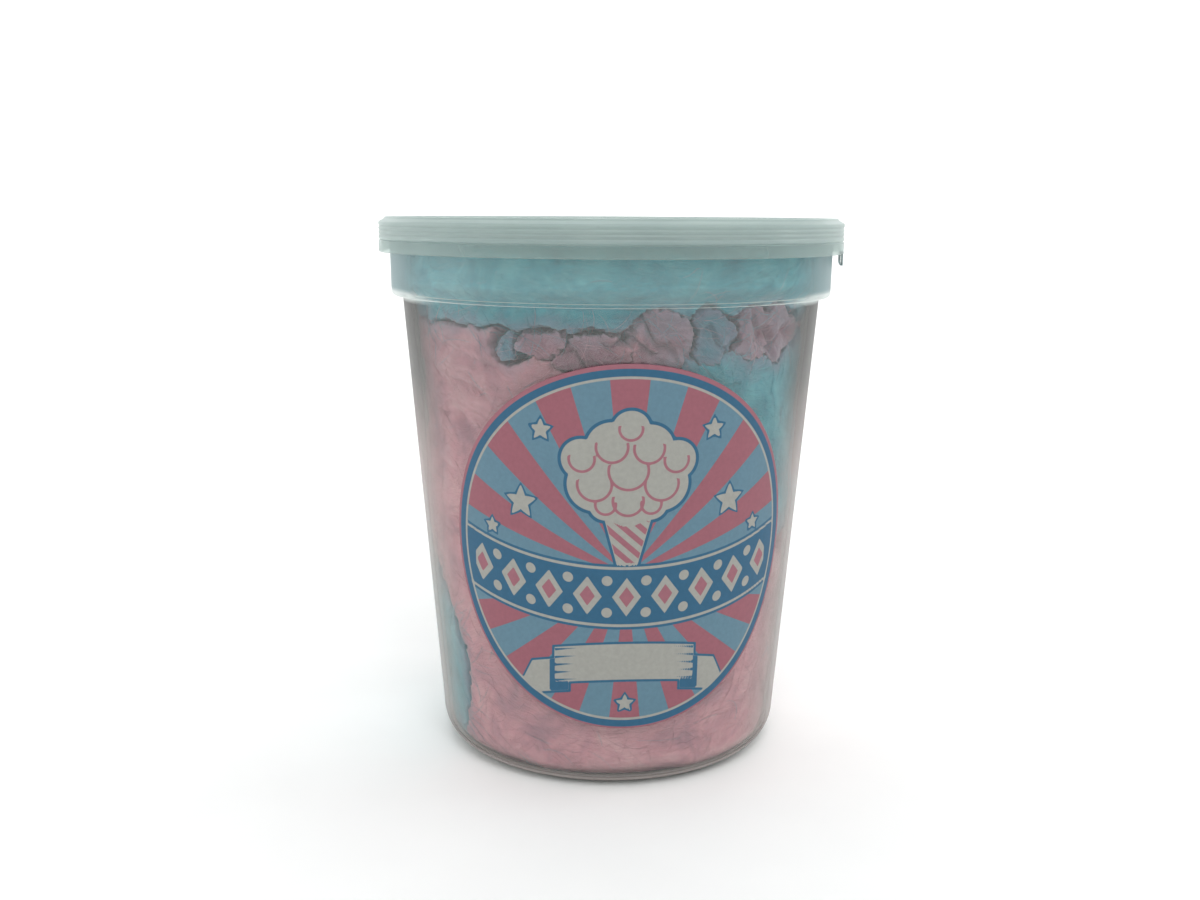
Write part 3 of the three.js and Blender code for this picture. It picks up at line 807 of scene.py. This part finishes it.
# %% [markdown]
# ## Loose fibres
#
# Where the floss was torn, bundles of fibres lie over it, and some of them cross from one colour to
# the other. A hair system would draw them, but it isn't part of the mesh. Here each bundle is a thin
# three-sided tube along a gently curved line on the skin. To know where the skin is, the outermost
# points of all wads are first gathered on a grid of azimuth and height.

# %% The skin seen from outside
SKIN_HIGH = 134.0  # height of the grid, from the table up
MEAN_RADIUS = 50.0  # distances along the wall are measured at this radius


def outer_skin(rows=132, columns=330):
    """Greatest radius of all skin points in each cell of height and azimuth, and whether it is pink.

    An empty cell takes the greatest of its neighbours, a few times over.
    """
    radius = np.zeros((rows, columns))
    pink = np.zeros((rows, columns))
    for name, p in SKINS.items():
        p = p.reshape(-1, 3)
        far = np.hypot(p[:, 0], p[:, 1])
        row = np.clip(p[:, 2] / SKIN_HIGH * rows, 0, rows - 1).astype(int)
        column = (np.arctan2(p[:, 0], -p[:, 1]) / (2 * np.pi) % 1 * columns).astype(int) % columns
        mine = np.zeros((rows, columns))
        np.maximum.at(mine, (row, column), far)
        pink = np.where(mine > radius, float("pink" in name), pink)
        radius = np.maximum(radius, mine)
    for _ in range(4):
        near = [np.roll(radius, step, axis) for step, axis in ((1, 0), (-1, 0), (1, 1), (-1, 1))]
        radius = np.where(radius > 0, radius, np.maximum.reduce(near))
    return radius, pink


SKIN_RADIUS, SKIN_PINK = outer_skin()
print("outer skin from", SKIN_RADIUS[5:-5].min().round(1), "to", SKIN_RADIUS.max().round(1), "mm")

# %% Material: bundles of sugar fibres
def fibre_sugar(name, pale, deep):
    """Bundles of sugar fibres: a little glassier than the mat they lie on, pale and deep in patches."""
    made, add, place = new_material(name)
    patches = add("TexNoise", {"Scale": 160.0, "Detail": 2.0}, {"Vector": place})
    tone = add("ValToRGB", links={"Fac": patches}, stops=[(0.35, linear(deep)), (0.65, linear(pale))])
    body = add("BsdfPrincipled", {"Roughness": 0.6, "IOR": 1.5, "Specular IOR Level": 0.3},
               {"Base Color": tone})
    return finish_material(made, body)


# %% Bundles of fibres
def skin_at(along, z):
    """Radius of the skin at a distance along the wall and a height, blended from four cells by area."""
    rows, columns = SKIN_RADIUS.shape
    u = along / MEAN_RADIUS / (2 * np.pi) * columns % columns
    v = np.clip(z / SKIN_HIGH * rows, 1, rows - 2)
    i, j = np.floor(v).astype(int), np.floor(u).astype(int)
    s, t = v - i, u - j
    j, j_next = j % columns, (j + 1) % columns
    low = SKIN_RADIUS[i, j] * (1 - t) + SKIN_RADIUS[i, j_next] * t
    high = SKIN_RADIUS[i + 1, j] * (1 - t) + SKIN_RADIUS[i + 1, j_next] * t
    return low * (1 - s) + high * s


def make_fibres(dye, seed, count=2700, steps=11):
    """Tubes on curved lines: heading a + k t, lifted off the skin as a sine, thinner towards both ends."""
    draw = np.random.default_rng(seed)
    tries = 4 * count
    along, z = draw.uniform(0, 2 * np.pi * MEAN_RADIUS, tries), draw.uniform(4, 127, tries)
    rows, columns = SKIN_PINK.shape
    column = (along / MEAN_RADIUS / (2 * np.pi) * columns).astype(int) % columns
    below = SKIN_PINK[(z / SKIN_HIGH * rows).astype(int), column] == (dye == "pink")
    stray = draw.uniform(size=tries) < 0.03
    keep = np.nonzero(below != stray)[0][:count]
    along, z = along[keep][:, None], z[keep][:, None]
    t = np.linspace(0, 1, steps)
    length = draw.uniform(5, 17, (len(keep), 1))
    heading = draw.normal(0, 0.55, (len(keep), 1)) + draw.normal(0, 1.1, (len(keep), 1)) * t
    along = along + np.cumsum(np.cos(heading), axis=1) * length / steps
    z = np.clip(z + np.cumsum(np.sin(heading), axis=1) * length / steps, 3.5, 128)
    lift = (0.10 + 0.3 * draw.uniform(size=(len(keep), 1)) ** 3) * np.sin(np.pi * t) - 0.08
    radius = skin_at(along, z) + lift
    turned = along / MEAN_RADIUS
    p = np.stack([radius * np.sin(turned), -radius * np.cos(turned), z], axis=-1)
    forward = np.gradient(p, axis=1)
    forward /= np.maximum(np.linalg.norm(forward, axis=-1, keepdims=True), 1e-9)
    out = np.stack([np.sin(turned), -np.cos(turned), 0 * z], axis=-1)
    side = np.cross(forward, out)
    side /= np.linalg.norm(side, axis=-1, keepdims=True)
    out = np.cross(side, forward)
    thick = draw.uniform(0.022, 0.048, (len(keep), 1)) * (0.15 + 0.85 * np.sin(np.pi * t) ** 0.5)
    corners = [p + thick[..., None] * (math.cos(a) * out + math.sin(a) * side) for a in (0.0, 2.094, 4.189)]
    points = keep_inside(np.stack(corners, axis=2), 0.05)
    ids = np.arange(points.size // 3).reshape(len(keep), steps, 3)
    a, b = ids[:, :-1], ids[:, 1:]
    sides = np.stack([a, np.roll(a, -1, 2), np.roll(b, -1, 2), b], axis=-1).reshape(-1, 4)
    caps = [ids[:, 0, [0, 2, 1, 1]], ids[:, -1, [0, 1, 2, 2]]]
    sugar = fibre_sugar("sugar_fibre_" + dye, DYES[dye][0], DYES[dye][2])
    mesh_object("floss_fibres_" + dye, points.reshape(-1, 3), np.concatenate([sides, *caps]),
                sugar, dye + "_floss")


make_fibres("pink", 3)
make_fibres("blue", 5)

# %% [markdown]
# ## Printed paper sticker
#
# The sticker is a round of coated paper, 90 mm across, printed in pink, light blue and deep blue
# round shapes in the paper's own cream. The print is worked out with distances: for each colour,
# how many millimetres a spot lies inside that colour's shapes. A distance changes evenly between
# grid points, so its edge, where it crosses zero, is crisp even on a grid of half a millimetre.

# %% Distances for the print
def ring_inside(x, y, inner, outer):
    """Inside a ring: half its width less the distance from its middle line."""
    return (outer - inner) / 2 - np.abs(np.hypot(x, y) - (outer + inner) / 2)


def disc_inside(x, y, cx, cy, radius):
    """Inside a disc: its radius less the distance from its middle."""
    return radius - np.hypot(x - cx, y - cy)


def star_inside(x, y, cx, cy, size, points=5):
    """Star: a radius that swings between size and 0.45 size along straight edges, by angle."""
    angle = np.arctan2(x - cx, y - cy) * points / (2 * np.pi)
    swing = np.abs(angle - np.round(angle)) * 2
    return size * 0.45 / (0.45 + 0.55 * swing) * 0.9 - np.hypot(x - cx, y - cy)


def ray_inside(x, y, rays=16, cy=-5.0):
    """Distance to the nearest ray edge from the burst's centre, positive in the pink rays."""
    swing = np.arctan2(x, y - cy) * rays / (2 * np.pi)
    nearest = np.abs(swing - np.round(swing)) - 0.25
    return -nearest * (2 * np.pi / rays) * np.hypot(x, y - cy)


def join(*parts):
    """Inside any of the shapes: the greatest of their distances."""
    return np.maximum.reduce(parts)


def meet(*parts):
    """Inside all of the shapes: the least of their distances."""
    return np.minimum.reduce(parts)


# The drawn cone's puffs of floss: middle across and up, radius
PUFFS = [(0, 20, 7.4), (-7.8, 16.6, 6.4), (7.8, 16.6, 6.4), (-3.9, 25.6, 5.9), (4.7, 25.2, 5.7),
         (-10.8, 22.6, 4.8), (11.2, 22.2, 4.7), (0.4, 29.9, 4.3), (0, 12.7, 5.7), (-5.2, 11.8, 3.8),
         (5.4, 11.9, 3.8)]
OUTSIDE = -9.0  # a distance well outside every shape


def print_distances(x, y):
    """Distances inside each colour's shapes at label spots x, y in millimetres."""
    wide = np.abs(x)
    band = y + 11 - 0.0035 * x ** 2  # up from the band's middle line, which rises towards both ends
    puff = join(*[disc_inside(x, y, *each) for each in PUFFS])
    cone = meet(5.6 * np.clip((y + 12) / 21, 0, 1) - wide, 9.0 - y, y + 12)
    ribbon_y = y + 27.5 + 0.006 * x ** 2
    ribbon = meet(4.6 - np.abs(ribbon_y), 17 - wide)
    tails_y = np.abs(ribbon_y + 2.6)
    tails = meet(4.2 - tails_y, 25 - wide - 0.55 * tails_y, wide - 13.5)
    step = 9.2
    cell = x - step * np.round(x / step)
    lozenge = (4.6 - np.abs(cell) * 1.35 - np.abs(band) * 0.95) * 0.6
    half_cell = x - step * (np.round(x / step - 0.5) + 0.5)
    bead = 1.25 - np.hypot(half_cell, np.abs(band) - 4.0)
    within = meet(7.3 - np.abs(band), 39 - wide)
    stars = join(star_inside(wide, y, 25.5, 11, 4.6), star_inside(wide, y, 20.5, 29, 3.1),
                 star_inside(wide, y, 33.5, 3.8, 2.4), star_inside(x, y, 0, -38.3, 2.6))
    ring_y = y + 0.3  # printed a little low, so that the pink edge shows at the top
    cream_ring = ring_inside(x, ring_y, 41.85, 42.45)
    deep = join(ring_inside(x, ring_y, 42.45, 44.25), 8.2 - np.abs(band), puff + 0.8, cone + 0.7,
                ribbon + 0.6, tails + 0.6, stars + 0.7)
    cream = join(cream_ring, 0.35 - np.abs(np.abs(band) - 7.2), meet(join(lozenge, bead), within),
                 np.where(band > 8.0, join(puff, cone), OUTSIDE), ribbon, tails, stars)
    cream = np.where(np.hypot(x, ring_y) > 42.45, cream_ring, cream)
    curls = join(*[0.32 - np.abs(disc_inside(x, y, cx, cy, radius * 0.62)) - 9 * (y > cy + 0.2 * radius)
                   for cx, cy, radius in PUFFS])
    stripes = meet(cone - 0.2, 0.9 - np.abs(((x * 0.9 + y) % 3.6) - 1.8))
    pink_over = join(np.where((band > 8.0) & (puff > 0.6), curls, OUTSIDE),
                     np.where((puff < -0.3) & (band > 8.4), stripes, OUTSIDE),
                     ring_inside(x, ring_y, 44.25, 46.5), meet(lozenge - 1.3, within))
    # The ribbon's folds: tapering lines that run in from its ends, and a shade where the tails tuck under.
    taper = 0.32 * np.clip((wide - 11.5) / 5.5, 0, 1)
    hatch = meet(taper - np.abs((ribbon_y + 1.0) % 2.0 - 1.0), ribbon, wide - 11.5)
    tuck = meet(tails, 18.2 - wide, 0.1 - ribbon)
    return {"rays": ray_inside(x, y), "deep_blue": deep, "cream": cream, "pink_over": pink_over,
            "blue_over": join(hatch, tuck)}


# %% Material: printed paper
def printed_paper():
    made, add, place = new_material("printed_paper")
    spots = add("TexNoise", {"Scale": 900.0, "Detail": 3.0}, {"Vector": place})
    # Each colour lies over the ones before it, and the first over light blue.
    light_blue = linear("#5a7a8a")
    colours = [("rays", "#8e5762"), ("deep_blue", "#2a5976"), ("cream", "#969690"), ("pink_over", "#915d68"),
               ("blue_over", "#2a5976")]
    shade = None
    for name, colour in colours:
        inside = add("Attribute", attribute_name=name)
        share = add("MapRange", {"From Min": -0.06, "From Max": 0.06}, {"Value": (inside, "Fac")})
        under = {"Color1": shade} if shade else {}
        shade = add("MixRGB", {"Color1": light_blue, "Color2": linear(colour)}, {"Fac": share, **under})
    # The ink is a screen of dots too fine to see, which leaves a faint speckle.
    speckle = add("MapRange", {"From Min": 0.3, "From Max": 0.7, "To Min": 0.95, "To Max": 1.05},
                  {"Value": spots})
    inked = add("VectorMath", links={0: shade, 1: speckle}, operation="MULTIPLY")
    tooth = add("Bump", {"Strength": 0.06, "Distance": 0.0001}, {"Height": spots})
    body = add("BsdfPrincipled", {"Roughness": 0.48, "IOR": 1.45, "Specular IOR Level": 0.35},
               {"Base Color": inked, "Normal": tooth})
    return finish_material(made, body)


# %% [markdown]
# ## The sticker on the cone
#
# Unrolled, a cone is a fan. The sticker lies flat on that fan, and each of its spots keeps its
# distance and direction from the fan's tip when the fan is rolled up into the wall again.

# %% Sticker
def on_wall(x, y, lift, middle_height=62.0, azimuth=4.5):
    """Spot x along and y up on the fan: its reach from the tip and its angle there give the place."""
    tip = wall_radius(middle_height) / math.sin(TAPER)
    reach = np.hypot(tip + y, x)
    turned = np.arctan2(x, tip + y) / math.sin(TAPER) + math.radians(azimuth)
    radius = reach * math.sin(TAPER) + lift * math.cos(TAPER)
    z = middle_height + (reach - tip) * math.cos(TAPER) - lift * math.sin(TAPER)
    return np.stack([radius * np.sin(turned), -radius * np.cos(turned), z], axis=-1)


def make_label(rings=150, spokes=400):
    """Polar grid: out from the middle on the front, over the cut edge, and back in on the rear."""
    out = np.concatenate([np.linspace(0, 44.9, rings), [45.0, 45.0], np.linspace(44, 0, 12)])
    lift = np.concatenate([np.full(rings, 0.60), [0.56, 0.34], np.full(12, 0.30)])
    angle = np.linspace(0, 2 * np.pi, spokes, endpoint=False)
    x, y = out[:, None] * np.sin(angle), out[:, None] * np.cos(angle)
    made = grid_object("printed_label", on_wall(x, y, lift[:, None]), printed_paper(), "label")
    for name, distance in print_distances(x, y).items():
        add_attribute(made, name, distance)
    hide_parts("label")


make_label()

# %% [markdown]
# ## Studio
#
# A white sweep runs from the floor up behind the tub, so that no horizon shows, with a lamp of its
# own. A soft key lamp hangs above and in front of the tub, and a weaker panel on each side lights
# the tapered wall's edges.

# %% Floor and lights
def make_floor():
    """Bowl-shaped sweep: flat to 0.9 m, then z = 1.4 s^2 over the next 1.2 m, all the way round."""
    radius = np.concatenate([[0.0], np.linspace(50, 2100, 60)])
    z = 1400 * np.clip((radius - 900) / 1200, 0, 1) ** 2
    material, add, place = new_material("white_sweep")
    grain = add("TexNoise", {"Scale": 30.0, "Detail": 2.0}, {"Vector": place})
    tone = add("ValToRGB", links={"Fac": grain}, stops=[(0.0, linear("#f1f1f0")), (1.0, linear("#f6f6f5"))])
    paint = add("BsdfPrincipled", {"Roughness": 0.9}, {"Base Color": tone})
    rows = turn(np.stack([radius, z], axis=-1), 96)
    grid_object("sweep", rows, finish_material(material, paint), open_rim=True)


def area_light(name, place, aim, size, power):
    """A rectangular soft white lamp at place, turned so that it faces aim."""
    data = bpy.data.lights.new(name, "AREA")
    data.shape = "RECTANGLE"
    data.size, data.size_y = size
    data.energy = power
    made = bpy.data.objects.new(name, data)
    bpy.context.scene.collection.objects.link(made)
    made.location = place
    made.rotation_mode = "QUATERNION"
    made.rotation_quaternion = (Vector(aim) - Vector(place)).to_track_quat("-Z", "Y")
    print(f"{name}: {power} W")


make_floor()
world = bpy.data.worlds.new("studio")
world.use_nodes = True
bpy.context.scene.world = world
world.node_tree.nodes["Background"].inputs["Color"].default_value = linear("#f7f9fa")
world.node_tree.nodes["Background"].inputs["Strength"].default_value = 0.80
area_light("key", (0.12, -0.72, 0.95), (0, 0, 0.08), (0.5, 0.5), 4.2)
area_light("left_panel", (-0.78, 0.0, 0.15), (0, 0, 0.05), (0.5, 0.25), 1.0)
area_light("right_panel", (0.78, 0.12, 0.55), (0, 0, 0.12), (0.4, 0.5), 1.1)
area_light("backdrop_lamp", (0, 0.9, 1.6), (0, 1.9, 0.4), (1.6, 0.6), 16.0)
bpy.context.scene.view_settings.view_transform = "Standard"
